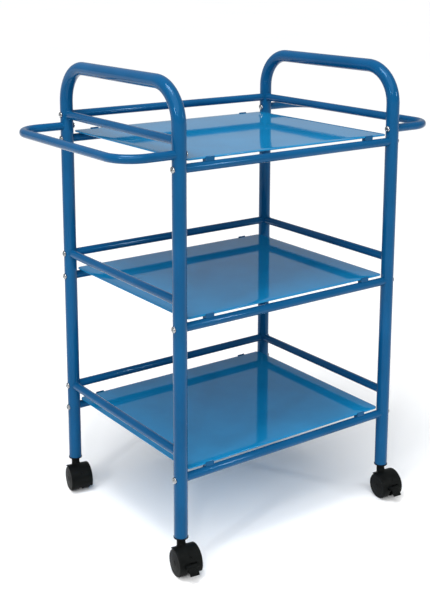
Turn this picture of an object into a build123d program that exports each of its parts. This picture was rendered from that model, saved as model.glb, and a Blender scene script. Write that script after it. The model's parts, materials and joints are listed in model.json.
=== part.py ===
from build123d import *
import math
import os

# Rolling salon trolley. Millimetres, +Z up, origin on the floor under the middle of the frame.
# +X runs along the shelves to the right-hand end, and the open front faces -Y.

os.makedirs("parts", exist_ok=True)

# ---------------------------------------------------------------- driving dimensions
post_spacing_x = 496.0  # between the two end hoops, axis to axis
post_spacing_y = 394.0  # between the two posts of one hoop, axis to axis
post_diameter = 25.4
rail_diameter = 16.0
tube_wall = 1.2
tube_end_height = 65.0  # the posts' open lower ends
push_bar_height = 878.0
push_bar_bend_radius = 70.0

levels = ("bottom", "middle", "top")
lowest_shelf_rail = 176.0
level_pitch = 280.0
guard_rail_rise = 47.0  # guard rail axis above shelf rail axis

handle_reach = 112.0  # handle bar axis beyond the post axis
handle_bend_radius = 50.0
handle_drop = 22.0  # handle axis below the top guard rail axis

shelf_length = 468.0
shelf_depth = 395.0
shelf_thickness = 3.0
shelf_sheet = 1.0
shelf_hem_width = 14.0
shelf_corner_radius = 9.0
shelf_edge_radius = 1.2
shelf_gap_over_rail = 4.2

clip_width = 18.0
clip_inset = 62.5  # clip centre from the post axis
clip_depth = 11.0
clip_saddle_height = 5.0  # the clip's lower edge above the rail's axis
clip_tab_thickness = 2.0
clip_tab_gap = 0.3
clip_tab_rise = 1.5  # tab above the shelf's top face

screw_radius = 2.5
screw_hole_radius = 2.7
screw_head_radius = 5.9
screw_head_height = 3.4
screw_head_taper = 20  # degrees
screw_grip = 43.0
thread_gap = 0.05
recess_width = 1.2
recess_span = 5.6
recess_depth = 1.8
insert_length = 20.0

wheel_radius = 25.0
wheel_width = 17.7
wheel_inner_face = 4.8  # from the caster's middle plane
wheel_trail = 16.0
wheel_rim_wall = 3.0
wheel_disc_wall = 2.4
wheel_hub_radius = 6.5
wheel_dome = 2.2
wheel_shoulder = 2.5
axle_radius = 3.0
axle_gap = 0.05
axle_end_gap = 0.4

guard_inner_radius = 26.2
guard_outer_radius = 28.0
guard_half_width = 22.5
guard_start = 30.0  # degrees up from level on the stem's side
guard_end = 208.0
guard_lip_corner = 21.0  # corner radius of the mudguard's edge on the stem's side
web_half_width = 3.5
web_boss_radius = 8.0
web_boss_half_width = 4.5
neck_radius = 8.0
neck_top = 62.0
guard_hole_radius = 2.5
guard_hole_angle = 143.0

stem_radius = 5.5
stem_gap = 0.05
spigot_radius = 4.0
spigot_bottom = 50.0
stem_top = 92.0
ring_height = 3.0
ring_bottom = 84.0
ring_outer_radius = 6.1
ring_inner_radius = 4.9
ring_groove_radius = 4.7
ring_groove_gap = 0.2
ring_split = 1.5
collar_radius = 13.5
collar_height = 2.5
socket_top = 97.0

pivot_radius = 31.0  # pedal pivot from the axle
pivot_angle = 171.0
pedal_travel = 25.0
pedal_half_width = 9.5
pedal_tongue_half_width = 8.7
pedal_length = 17.0
pedal_thickness = 3.0
pedal_slope = 232.0  # direction of the released pedal in the caster's side view
pedal_barrel_radius = 3.2
cam_reach = 5.7
cam_radius = 1.0
cam_inner_face = 5.2
pin_radius = 1.5
pin_gap = 0.05
lug_thickness = 2.4
lug_gap = 0.4
lug_radius = 3.4
lug_spread = 8.0  # degrees to each side at the lug's root
window_half_width = lug_gap + pedal_half_width
pin_half_length = window_half_width + lug_thickness
window_overrun = 30.0  # degrees that the window is cut on past the mudguard's end
web_clear_radius = 20.0

stem_chamfer = 1.0
axle_chamfer = 0.5
collar_edge_radius = 1.0
guard_hole_cut = 4.0
guard_lip_cut = 4.0  # cutting tool in front of the mudguard's edge
cut_margin = 1.0  # cutting tools stand this far out of what they cut

# ---------------------------------------------------------------- places worked out from them
half_x = post_spacing_x / 2
half_y = post_spacing_y / 2
post_radius = post_diameter / 2
rail_radius = rail_diameter / 2
tube_bore_radius = post_radius - tube_wall
rail_bore_radius = rail_radius - tube_wall
shelf_rail_heights = [lowest_shelf_rail + level_pitch * level for level in range(3)]
guard_rail_heights = [height + guard_rail_rise for height in shelf_rail_heights]
handle_height = guard_rail_heights[-1] - handle_drop
shelf_lift = rail_radius + shelf_gap_over_rail

ends = {"left": -1, "right": 1}
sides = {"front": -1, "back": 1}
# corner: end, side, and how far the caster is turned from trailing straight to the front
corners = {
    "front_left": ("left", "front", -8.0),
    "front_right": ("right", "front", -6.0),
    "back_left": ("left", "back", -10.0),
    "back_right": ("right", "back", 154.0),
}
braked_corners = ("front_left", "front_right")


def end_axis(x, y, z, end):
    """Plane on a rail's axis, its normal pointing away from the trolley's middle."""
    return Plane(origin=(x, y, z), x_dir=(0, 1, 0), z_dir=(end, 0, 0))


def cut_post_shapes(places, height):
    """Cope the tubes being built to the posts that they butt against."""
    with Locations(*places):
        Cylinder(post_radius, height, mode=Mode.SUBTRACT)


def long_rail(y, height, node):
    """One straight rail from post to post along X, its ends coped to the posts."""
    with BuildPart() as rail:
        with BuildSketch(Plane(origin=(-half_x, y, height), x_dir=(0, 1, 0), z_dir=(1, 0, 0))):
            Circle(rail_radius)
            Circle(rail_bore_radius, mode=Mode.SUBTRACT)
        extrude(amount=post_spacing_x)
        cut_post_shapes([(-half_x, y, height), (half_x, y, height)], 2 * rail_diameter)
    rail.part.label = node
    export_step(rail.part, f"parts/{node}.step")


# ---------------------------------------------------------------- end hoops
for end_name, end in ends.items():
    with BuildPart() as hoop:
        with BuildLine() as hoop_path:
            FilletPolyline(
                (end * half_x, -half_y, tube_end_height),
                (end * half_x, -half_y, push_bar_height),
                (end * half_x, half_y, push_bar_height),
                (end * half_x, half_y, tube_end_height),
                radius=push_bar_bend_radius,
            )
        with BuildSketch(Plane.XY.offset(tube_end_height)):
            with Locations((end * half_x, -half_y)):
                Circle(post_radius)
                Circle(tube_bore_radius, mode=Mode.SUBTRACT)
        sweep(path=hoop_path.wires()[0])
        screw_places = [(end * half_x, half_y, height) for height in guard_rail_heights]
        for side in sides.values():
            screw_places += [(end * half_x, side * half_y, height) for height in shelf_rail_heights]
            screw_places.append((end * half_x, side * half_y, handle_height))
        with Locations(*screw_places):
            Cylinder(screw_hole_radius, post_diameter + 2 * cut_margin, rotation=(0, 90, 0), mode=Mode.SUBTRACT)
    hoop.part.label = f"{end_name}_hoop"
    export_step(hoop.part, f"parts/{end_name}_hoop.step")

# ---------------------------------------------------------------- end guard rails
for end_name, end in ends.items():
    for level, height in zip(levels, guard_rail_heights):
        with BuildPart() as end_rail:
            with BuildSketch(Plane.XZ.offset(-half_y)):
                with Locations((end * half_x, height)):
                    Circle(rail_radius)
                    Circle(rail_bore_radius, mode=Mode.SUBTRACT)
            extrude(amount=post_spacing_y)
            post_places = [(end * half_x, side * half_y, height) for side in sides.values()]
            cut_post_shapes(post_places, 2 * rail_diameter)
        end_rail.part.label = f"{end_name}_end_rail_{level}"
        export_step(end_rail.part, f"parts/{end_name}_end_rail_{level}.step")

# ---------------------------------------------------------------- long rails
for level, guard_height, shelf_height in zip(levels, guard_rail_heights, shelf_rail_heights):
    long_rail(half_y, guard_height, f"back_guard_rail_{level}")
    for side_name, side in sides.items():
        long_rail(side * half_y, shelf_height, f"{side_name}_shelf_rail_{level}")

# ---------------------------------------------------------------- end handles
for end_name, end in ends.items():
    bar_x = end * (half_x + handle_reach)
    with BuildPart() as handle:
        with BuildLine() as handle_path:
            FilletPolyline(
                (end * half_x, -half_y, handle_height),
                (bar_x, -half_y, handle_height),
                (bar_x, half_y, handle_height),
                (end * half_x, half_y, handle_height),
                radius=handle_bend_radius,
            )
        with BuildSketch(end_axis(end * half_x, -half_y, handle_height, end)):
            Circle(rail_radius)
            Circle(rail_bore_radius, mode=Mode.SUBTRACT)
        sweep(path=handle_path.wires()[0])
        post_places = [(end * half_x, side * half_y, handle_height) for side in sides.values()]
        cut_post_shapes(post_places, 2 * rail_diameter)
    handle.part.label = f"{end_name}_handle"
    export_step(handle.part, f"parts/{end_name}_handle.step")

# ---------------------------------------------------------------- shelves
for level, rail_height in zip(levels, shelf_rail_heights):
    shelf_bottom = rail_height + shelf_lift
    with BuildPart() as shelf:
        with BuildSketch(Plane.XY.offset(shelf_bottom)):
            RectangleRounded(shelf_length, shelf_depth, shelf_corner_radius)
        extrude(amount=shelf_thickness)
        # the folded hem runs round the edge, and inside it the shelf is a single sheet
        with BuildSketch(Plane.XY.offset(shelf_bottom)):
            RectangleRounded(
                shelf_length - 2 * shelf_hem_width,
                shelf_depth - 2 * shelf_hem_width,
                shelf_corner_radius / 2,
            )
        extrude(amount=shelf_thickness - shelf_sheet, mode=Mode.SUBTRACT)
        top_edges = shelf.faces().sort_by(Axis.Z)[-1].outer_wire().edges()
        bottom_edges = shelf.faces().sort_by(Axis.Z)[0].outer_wire().edges()
        fillet(top_edges + bottom_edges, shelf_edge_radius)
    shelf.part.label = f"shelf_{level}"
    export_step(shelf.part, f"parts/shelf_{level}.step")

# ---------------------------------------------------------------- shelf clips
for level, rail_height in zip(levels, shelf_rail_heights):
    saddle_edge = rail_height + clip_saddle_height
    pad_top = rail_height + shelf_lift
    tab_top = pad_top + shelf_thickness + clip_tab_rise
    tab_face = shelf_depth / 2 + clip_tab_gap
    tab_back = tab_face + clip_tab_thickness
    with BuildPart() as clips:
        for end in ends.values():
            clip_x = end * (half_x - clip_inset)
            for side in sides.values():
                with BuildSketch(Plane.YZ.offset(clip_x - clip_width / 2)):
                    with BuildLine():
                        Polyline(
                            (side * tab_back, saddle_edge),
                            (side * tab_back, tab_top),
                            (side * tab_face, tab_top),
                            (side * tab_face, pad_top),
                            (side * (tab_back - clip_depth), pad_top),
                            (side * (tab_back - clip_depth), saddle_edge),
                            close=True,
                        )
                    make_face()
                extrude(amount=clip_width)
        for side in sides.values():
            with Locations((0, side * half_y, rail_height)):
                Cylinder(
                    rail_radius, post_spacing_x, rotation=(0, 90, 0), mode=Mode.SUBTRACT
                )
    clips.part.label = f"shelf_clips_{level}"
    export_step(clips.part, f"parts/shelf_clips_{level}.step")


# ---------------------------------------------------------------- screws and their inserts
rail_lines = [(half_y, height) for height in guard_rail_heights]
for side in sides.values():
    rail_lines += [(side * half_y, height) for height in shelf_rail_heights]

# where the truss heads stand: on the posts' outer faces for the rails, on their inner faces for the handles
screw_seats = {"rail_screws": [], "handle_screws": []}
# the tube ends at the posts, each plane's normal pointing at its post
insert_mouths = {"rail_inserts": [], "handle_inserts": []}
for end in ends.values():
    for y, height in rail_lines:
        screw_seats["rail_screws"].append(end_axis(end * (half_x + post_radius), y, height, end))
        insert_mouths["rail_inserts"].append(end_axis(end * (half_x - post_radius), y, height, end))
    for side in sides.values():
        y = side * half_y
        inner_face = end_axis(end * (half_x - post_radius), y, handle_height, -end)
        outer_face = end_axis(end * (half_x + post_radius), y, handle_height, -end)
        screw_seats["handle_screws"].append(inner_face)
        insert_mouths["handle_inserts"].append(outer_face)

for node, seats in screw_seats.items():
    with BuildPart() as screws:
        with BuildSketch(*seats):
            Circle(screw_head_radius)
        extrude(amount=screw_head_height, taper=screw_head_taper)
        with BuildSketch(*[seat.offset(screw_head_height) for seat in seats]):
            Rectangle(recess_span, recess_width)
            Rectangle(recess_width, recess_span)
        extrude(amount=-recess_depth, mode=Mode.SUBTRACT)
        with BuildSketch(*seats):
            Circle(screw_radius)
        extrude(amount=-screw_grip)
    screws.part.label = node
    export_step(screws.part, f"parts/{node}.step")

for node, mouths in insert_mouths.items():
    with BuildPart() as inserts:
        with BuildSketch(*mouths):
            Circle(rail_bore_radius)
            Circle(screw_radius + thread_gap, mode=Mode.SUBTRACT)
        extrude(amount=-insert_length)
    inserts.part.label = node
    export_step(inserts.part, f"parts/{node}.step")


# ---------------------------------------------------------------- casters
def caster_frame(corner):
    """Plane on the floor under the stem: +X along the axle, and the wheels trail towards -Y."""
    end_name, side_name, turn = corners[corner]
    angle = math.radians(turn)
    return Plane(
        origin=(ends[end_name] * half_x, sides[side_name] * half_y, 0),
        x_dir=(math.cos(angle), math.sin(angle), 0),
        z_dir=(0, 0, 1),
    )


def side_plane(frame, along=0.0):
    """Side view of a caster: x towards the stem, y up, centred on the axle."""
    centre = frame.from_local_coords(Vector(along, -wheel_trail, wheel_radius))
    return Plane(origin=centre, x_dir=frame.y_dir, z_dir=frame.x_dir)


def axle_section(frame, facing):
    """Plane through the axle: x outwards along it, y up. facing is 1 or -1 along the frame's X."""
    centre = frame.from_local_coords(Vector(0, -wheel_trail, wheel_radius))
    return Plane(origin=centre, x_dir=frame.x_dir * facing, z_dir=frame.y_dir * -facing)


def outward(corner):
    """1 if the caster frame's +X points away from the trolley's middle, or else -1."""
    end_name, _, turn = corners[corner]
    return ends[end_name] if abs(turn) < 90 else -ends[end_name]


def sector(radius, start, end):
    """Pie slice of the given radius, centred on the sketch plane's origin."""
    rim = Edge.make_circle(radius, start_angle=start, end_angle=end)
    make_face([rim, Edge.make_line(rim @ 1, (0, 0)), Edge.make_line((0, 0), rim @ 0)])


def spoke_plane(frame, radius, degrees):
    """Plane square to a spoke of the side view, at the radius: x along the axle, y on round the axle."""
    spoke_x, spoke_y = on_circle(radius, degrees)
    side = side_plane(frame)
    centre = side.from_local_coords(Vector(spoke_x, spoke_y, 0))
    return Plane(origin=centre, x_dir=-frame.x_dir, z_dir=centre - side.origin)


def on_circle(radius, degrees):
    """Point on a circle about the axle, in the side view."""
    angle = math.radians(degrees)
    return (radius * math.cos(angle), radius * math.sin(angle))


pivot_point = on_circle(pivot_radius, pivot_angle)
stem_hole_depth = neck_top - spigot_bottom

for corner in corners:
    frame = caster_frame(corner)
    braked = corner in braked_corners

    # the moulded hood: mudguard, centre web, neck, and on a braked caster the pedal's two lugs
    with BuildPart() as hood:
        with BuildSketch(side_plane(frame, -guard_half_width)):
            sector(guard_outer_radius, guard_start, guard_end)
        extrude(amount=2 * guard_half_width)
        with BuildSketch(frame.offset(wheel_radius)):
            Circle(neck_radius)
        extrude(amount=neck_top - wheel_radius)
        with BuildSketch(spoke_plane(frame, guard_inner_radius / 2, guard_start)):
            with Locations((0, (guard_lip_corner - guard_lip_cut) / 2)):
                Rectangle(2 * (guard_half_width + cut_margin), guard_lip_corner + guard_lip_cut)
            with Locations((0, 2 * guard_lip_corner)):
                RectangleRounded(2 * guard_half_width, 4 * guard_lip_corner, guard_lip_corner, mode=Mode.SUBTRACT)
        extrude(amount=guard_outer_radius, mode=Mode.SUBTRACT)
        if braked:
            with BuildSketch(side_plane(frame, -pin_half_length)):
                with Locations(pivot_point):
                    Circle(lug_radius)
                Polygon(
                    on_circle(guard_inner_radius, pivot_angle - lug_spread),
                    on_circle(pivot_radius, pivot_angle - lug_spread / 2),
                    on_circle(pivot_radius, pivot_angle + lug_spread / 2),
                    on_circle(guard_inner_radius, pivot_angle + lug_spread),
                    align=None,
                )
            extrude(amount=2 * pin_half_length)
        with BuildSketch(side_plane(frame, -guard_half_width - cut_margin)):
            Circle(guard_inner_radius)
        extrude(amount=2 * (guard_half_width + cut_margin), mode=Mode.SUBTRACT)
        with BuildSketch(side_plane(frame, -web_half_width)):
            sector(guard_inner_radius, guard_start, guard_end)
        extrude(amount=2 * web_half_width)
        with BuildSketch(side_plane(frame, -web_boss_half_width)):
            Circle(web_boss_radius)
        extrude(amount=2 * web_boss_half_width)
        if braked:
            # window in the mudguard for the pedal, and the web cut back behind it
            with BuildSketch(side_plane(frame, -window_half_width)):
                sector(2 * guard_outer_radius, pivot_angle - lug_spread, guard_end + window_overrun)
                Circle(web_clear_radius, mode=Mode.SUBTRACT)
            extrude(amount=2 * window_half_width, mode=Mode.SUBTRACT)
            with BuildSketch(side_plane(frame, -pin_half_length - cut_margin)):
                with Locations(pivot_point):
                    Circle(pin_radius)
            extrude(amount=2 * (pin_half_length + cut_margin), mode=Mode.SUBTRACT)
        with BuildSketch(side_plane(frame, -web_boss_half_width - cut_margin)):
            Circle(axle_radius)
        extrude(amount=2 * (web_boss_half_width + cut_margin), mode=Mode.SUBTRACT)
        with BuildSketch(frame.offset(neck_top)):
            Circle(spigot_radius)
        extrude(amount=-stem_hole_depth, mode=Mode.SUBTRACT)
        with BuildSketch(spoke_plane(frame, guard_outer_radius + cut_margin, guard_hole_angle)):
            Circle(guard_hole_radius)
        extrude(amount=-guard_hole_cut, mode=Mode.SUBTRACT)
    hood.part.label = f"{corner}_hood"
    export_step(hood.part, f"parts/{corner}_hood.step")

    # steel stem: a spigot pressed into the neck, and a journal with a groove for the grip ring
    with BuildPart() as stem:
        with BuildSketch(frame.offset(spigot_bottom)):
            Circle(spigot_radius)
        extrude(amount=stem_hole_depth)
        with BuildSketch(frame.offset(neck_top)):
            Circle(stem_radius)
        extrude(amount=stem_top - neck_top)
        top_face = stem.faces().sort_by(Axis.Z)[-1]
        chamfer(top_face.edges(), stem_chamfer)
        with BuildSketch(frame.offset(ring_bottom - ring_groove_gap)):
            Circle(stem_radius + cut_margin)
            Circle(ring_groove_radius, mode=Mode.SUBTRACT)
        extrude(amount=ring_height + 2 * ring_groove_gap, mode=Mode.SUBTRACT)
    stem.part.label = f"{corner}_stem"
    export_step(stem.part, f"parts/{corner}_stem.step")

    # plastic socket in the tube end, with its collar below the tube
    with BuildPart() as socket:
        with BuildSketch(frame.offset(tube_end_height - collar_height)):
            Circle(collar_radius)
        extrude(amount=collar_height)
        fillet(socket.faces().sort_by(Axis.Z)[0].edges(), collar_edge_radius)
        with BuildSketch(frame.offset(tube_end_height)):
            Circle(tube_bore_radius)
        extrude(amount=socket_top - tube_end_height)
        with BuildSketch(frame.offset(tube_end_height - collar_height)):
            Circle(stem_radius + stem_gap)
        extrude(amount=stem_top + stem_gap - tube_end_height + collar_height, mode=Mode.SUBTRACT)
        with BuildSketch(frame.offset(ring_bottom)):
            Circle(ring_outer_radius)
        extrude(amount=ring_height, mode=Mode.SUBTRACT)
    socket.part.label = f"{corner}_socket"
    export_step(socket.part, f"parts/{corner}_socket.step")

    # steel axle through the web's boss
    axle_half_length = wheel_inner_face + wheel_width - wheel_disc_wall - wheel_dome - axle_end_gap
    with BuildPart() as axle:
        with BuildSketch(side_plane(frame, -axle_half_length)):
            Circle(axle_radius)
        extrude(amount=2 * axle_half_length)
        chamfer(axle.edges(), axle_chamfer)
    axle.part.label = f"{corner}_axle"
    export_step(axle.part, f"parts/{corner}_axle.step")

    # two wheels: a rim, a domed outer disc, and a hub with a blind bore, open towards the web
    for wheel_name, facing in (("outer", outward(corner)), ("inner", -outward(corner))):
        dome_top = wheel_inner_face + wheel_width
        rim_edge = dome_top - wheel_dome
        disc_inside = rim_edge - wheel_disc_wall
        bore_radius = axle_radius + axle_gap
        rim_inside = wheel_radius - wheel_rim_wall
        section = axle_section(frame, facing)
        with BuildPart() as wheel:
            with BuildSketch(section):
                with BuildLine():
                    Polyline(
                        (dome_top, 0),
                        (disc_inside, 0),
                        (disc_inside, bore_radius),
                        (wheel_inner_face, bore_radius),
                        (wheel_inner_face, wheel_hub_radius),
                        (disc_inside, wheel_hub_radius),
                        (disc_inside, rim_inside),
                        (wheel_inner_face, rim_inside),
                        (wheel_inner_face, wheel_radius),
                        (rim_edge - wheel_shoulder, wheel_radius),
                    )
                    shoulder_end = (rim_edge, wheel_radius - wheel_shoulder)
                    TangentArc((rim_edge - wheel_shoulder, wheel_radius), shoulder_end, tangent=(1, 0))
                    TangentArc((dome_top, 0), shoulder_end, tangent=(0, 1))
                make_face()
            revolve(axis=Axis(section.origin, section.x_dir))
        wheel.part.label = f"{corner}_wheel_{wheel_name}"
        export_step(wheel.part, f"parts/{corner}_wheel_{wheel_name}.step")

# ---------------------------------------------------------------- brake pedals, on the front casters
def along(start, length, degrees):
    """Point at a distance from another in the side view, in the given direction."""
    angle = math.radians(degrees)
    return (start[0] + length * math.cos(angle), start[1] + length * math.sin(angle))


def slot(start, end, width):
    """Round-ended bar between two points of the sketch."""
    middle = ((start[0] + end[0]) / 2, (start[1] + end[1]) / 2)
    SlotCenterPoint(middle, end, width)


for corner in braked_corners:
    frame = caster_frame(corner)
    cam_slope = pivot_angle + 180 - pedal_travel
    with BuildPart() as pedal:
        with BuildSketch(side_plane(frame, -pedal_half_width)):
            with Locations(pivot_point):
                Circle(pedal_barrel_radius)
            slot(pivot_point, along(pivot_point, cam_reach - cam_radius, cam_slope), 2 * cam_radius)
        extrude(amount=2 * pedal_half_width)
        # between the two cams only the barrel and the tongue are left
        with BuildSketch(side_plane(frame, -cam_inner_face)):
            Circle(pivot_radius - pedal_barrel_radius)
        extrude(amount=2 * cam_inner_face, mode=Mode.SUBTRACT)
        with BuildSketch(side_plane(frame, -pedal_tongue_half_width)):
            slot(
                pivot_point,
                along(pivot_point, pedal_length - pedal_thickness / 2, pedal_slope),
                pedal_thickness,
            )
        extrude(amount=2 * pedal_tongue_half_width)
        with BuildSketch(side_plane(frame, -pedal_half_width - cut_margin)):
            with Locations(pivot_point):
                Circle(pin_radius + pin_gap)
        extrude(amount=2 * (pedal_half_width + cut_margin), mode=Mode.SUBTRACT)
    pedal.part.label = f"{corner}_brake_pedal"
    export_step(pedal.part, f"parts/{corner}_brake_pedal.step")

    with BuildPart() as pin:
        with BuildSketch(side_plane(frame, -pin_half_length)):
            with Locations(pivot_point):
                Circle(pin_radius)
        extrude(amount=2 * pin_half_length)
    pin.part.label = f"{corner}_pedal_pin"
    export_step(pin.part, f"parts/{corner}_pedal_pin.step")

# ---------------------------------------------------------------- grip rings on the stems
with BuildPart() as grip_rings:
    for corner in corners:
        frame = caster_frame(corner)
        with BuildSketch(frame.offset(ring_bottom)):
            Circle(ring_outer_radius)
            Circle(ring_inner_radius, mode=Mode.SUBTRACT)
            with Locations((0, ring_outer_radius)):
                Rectangle(ring_split, ring_outer_radius, mode=Mode.SUBTRACT)
        extrude(amount=ring_height)
grip_rings.part.label = "grip_rings"
export_step(grip_rings.part, "parts/grip_rings.step")
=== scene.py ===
import json
import math

import bmesh
import bpy
from mathutils import Euler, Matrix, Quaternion, Vector


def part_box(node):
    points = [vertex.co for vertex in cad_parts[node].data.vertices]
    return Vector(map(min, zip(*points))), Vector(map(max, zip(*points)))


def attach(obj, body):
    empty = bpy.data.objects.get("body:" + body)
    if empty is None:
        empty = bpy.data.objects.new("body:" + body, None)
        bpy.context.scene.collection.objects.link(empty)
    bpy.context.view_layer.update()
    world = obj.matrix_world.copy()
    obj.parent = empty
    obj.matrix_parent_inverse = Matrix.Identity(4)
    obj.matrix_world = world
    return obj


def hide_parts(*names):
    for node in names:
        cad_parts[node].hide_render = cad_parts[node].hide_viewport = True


# Rolling salon trolley: blue powder-coated tubes, three glossy shelves and black twin-wheel casters.
# Metres, +Z up, origin on the floor under the middle of the frame; the open front faces -Y.

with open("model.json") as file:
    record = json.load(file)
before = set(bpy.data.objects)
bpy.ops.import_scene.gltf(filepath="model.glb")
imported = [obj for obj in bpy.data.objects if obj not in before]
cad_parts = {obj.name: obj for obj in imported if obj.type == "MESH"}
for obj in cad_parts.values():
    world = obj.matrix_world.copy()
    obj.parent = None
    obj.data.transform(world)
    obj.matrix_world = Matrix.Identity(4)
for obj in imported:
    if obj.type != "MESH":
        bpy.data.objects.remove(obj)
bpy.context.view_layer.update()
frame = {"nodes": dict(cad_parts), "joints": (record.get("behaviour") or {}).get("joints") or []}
MM = 0.001

# ---------------------------------------------------------------- sizes that the frame gives
LEVELS = ("bottom", "middle", "top")
ENDS = {"left": -1, "right": 1}
SIDES = {"front": -1, "back": 1}
UP = Vector((0, 0, 1))
ALONG = Vector((1, 0, 0))
DEEP = Vector((0, 1, 0))
QUARTERS = ((-1, -1), (1, -1), (1, 1), (-1, 1))  # signs of a rectangle's corners, in order


def node_centre(node):
    low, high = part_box(node)
    return (low + high) / 2


def node_half(node):
    low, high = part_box(node)
    return (high - low) / 2


hoop_low, hoop_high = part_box("right_hoop")
POST_RADIUS = (hoop_high.x - hoop_low.x) / 2
HALF_X = (hoop_high.x + hoop_low.x) / 2
HALF_Y = hoop_high.y - POST_RADIUS
TUBE_END = hoop_low.z
PUSH_BAR_HEIGHT = hoop_high.z - POST_RADIUS
RAIL_RADIUS = node_half("back_guard_rail_top").z
GUARD_HEIGHTS = [node_centre(f"back_guard_rail_{level}").z for level in LEVELS]
SHELF_RAIL_HEIGHTS = [node_centre(f"front_shelf_rail_{level}").z for level in LEVELS]
HANDLE_HEIGHT = node_centre("right_handle").z
HANDLE_BAR_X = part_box("right_handle")[1].x - RAIL_RADIUS

# ---------------------------------------------------------------- the looks' own sizes
MERGE_GAP = 0.001 * MM  # points of one form that are nearer than this are one point
TUBE_WALL = 1.2 * MM
HOOP_BEND = 70 * MM
HANDLE_BEND = 50 * MM
TUBE_SIDES = 64
BEND_STEPS = 40
TUBE_LIP = 0.35 * MM
SHARP_ANGLE = 32  # degrees
SHELF_CORNER = 9 * MM
SHELF_EDGE = 1.2 * MM
SHELF_SHEET = 1.0 * MM
SHELF_HEM = 14 * MM
SHELF_HEM_NICK = 0.3 * MM
SHELF_LEAST_CORNER = 1.5 * MM
SHELF_CORNER_STEPS = 10
SHELF_EDGE_STEPS = 8


# ---------------------------------------------------------------- node materials
# Noise scales are in cycles for each metre, and depths in metres.
TARNISH = 0.82
TOOL_MARKS = (900, 900, 2600)
MOULD_FLOW = (40, 40, 90)


def new_material(name):
    """An empty material and its node tree, its Principled shader and its object coordinates."""
    material = bpy.data.materials.new(name)
    material.use_nodes = True
    tree = material.node_tree
    shader = tree.nodes["Principled BSDF"]
    coordinates = tree.nodes.new("ShaderNodeTexCoord").outputs["Object"]
    return material, tree, shader, coordinates


def noise(tree, coordinates, scale, detail=3.0, rough=0.5):
    node = tree.nodes.new("ShaderNodeTexNoise")
    node.inputs["Scale"].default_value = scale
    node.inputs["Detail"].default_value = detail
    node.inputs["Roughness"].default_value = rough
    tree.links.new(coordinates, node.inputs["Vector"])
    return node.outputs["Fac"]


def stretched(tree, coordinates, scale):
    """The coordinates scaled by a different amount along each axis."""
    node = tree.nodes.new("ShaderNodeMapping")
    node.inputs["Scale"].default_value = scale
    tree.links.new(coordinates, node.inputs["Vector"])
    return node.outputs["Vector"]


def spread(tree, value, low, high, start=0.3, end=0.7):
    """value, from start to end, mapped to the range from low to high."""
    node = tree.nodes.new("ShaderNodeMapRange")
    node.inputs["From Min"].default_value = start
    node.inputs["From Max"].default_value = end
    node.inputs["To Min"].default_value = low
    node.inputs["To Max"].default_value = high
    tree.links.new(value, node.inputs["Value"])
    return node.outputs["Result"]


def shades(tree, value, dark, light, start=0.35, end=0.65):
    """value turned into a colour between dark and light."""
    node = tree.nodes.new("ShaderNodeValToRGB")
    node.color_ramp.elements[0].position = start
    node.color_ramp.elements[0].color = (*dark, 1)
    node.color_ramp.elements[1].position = end
    node.color_ramp.elements[1].color = (*light, 1)
    tree.links.new(value, node.inputs["Fac"])
    return node.outputs["Color"]


def relief(tree, height, depth, strength=1.0, under=None):
    """Bump of the given depth in metres, on top of another bump if there is one."""
    node = tree.nodes.new("ShaderNodeBump")
    node.inputs["Strength"].default_value = strength
    node.inputs["Distance"].default_value = depth
    tree.links.new(height, node.inputs["Height"])
    if under is not None:
        tree.links.new(under, node.inputs["Normal"])
    return node.outputs["Normal"]


def paint(name, dark, light, sheen, gloss, ripple, coat):
    """Enamel or powder coat: slight shade changes, orange peel under a clear top skin, and fine dust.

    gloss is the range of roughness, and ripple the scale and depth of the skin's slow waves.
    """
    material, tree, shader, coordinates = new_material(name)
    cloud = noise(tree, coordinates, scale=9.0, detail=4.0)
    tree.links.new(shades(tree, cloud, dark, light), shader.inputs["Base Color"])
    speck = noise(tree, coordinates, scale=260.0, detail=6.0, rough=0.7)
    tree.links.new(spread(tree, speck, gloss[0], gloss[1]), shader.inputs["Roughness"])
    shader.inputs["Specular IOR Level"].default_value = 0.2
    shader.inputs["Specular Tint"].default_value = (*sheen, 1)
    shader.inputs["Coat Weight"].default_value = coat
    shader.inputs["Coat Roughness"].default_value = 0.03
    ripple_scale, ripple_depth = ripple
    waves = relief(tree, noise(tree, coordinates, ripple_scale, detail=1.0), ripple_depth)
    orange_peel = noise(tree, coordinates, scale=620.0, detail=1.5)
    peel = relief(tree, orange_peel, depth=0.010 * MM, under=waves)
    tree.links.new(peel, shader.inputs["Normal"])
    tree.links.new(waves, shader.inputs["Coat Normal"])
    return material


def plating(name, colour, gloss):
    """Bright plated or turned steel with fine rings of tool marks and a faint tarnish."""
    material, tree, shader, coordinates = new_material(name)
    tarnish = noise(tree, coordinates, scale=85.0, detail=5.0)
    dull = tuple(TARNISH * part for part in colour)
    tree.links.new(shades(tree, tarnish, dull, colour), shader.inputs["Base Color"])
    shader.inputs["Metallic"].default_value = 1.0
    scuffs = noise(tree, stretched(tree, coordinates, TOOL_MARKS), scale=1.0, detail=4.0)
    tree.links.new(spread(tree, scuffs, gloss[0], gloss[1]), shader.inputs["Roughness"])
    tree.links.new(relief(tree, scuffs, depth=0.006 * MM), shader.inputs["Normal"])
    return material


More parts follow.
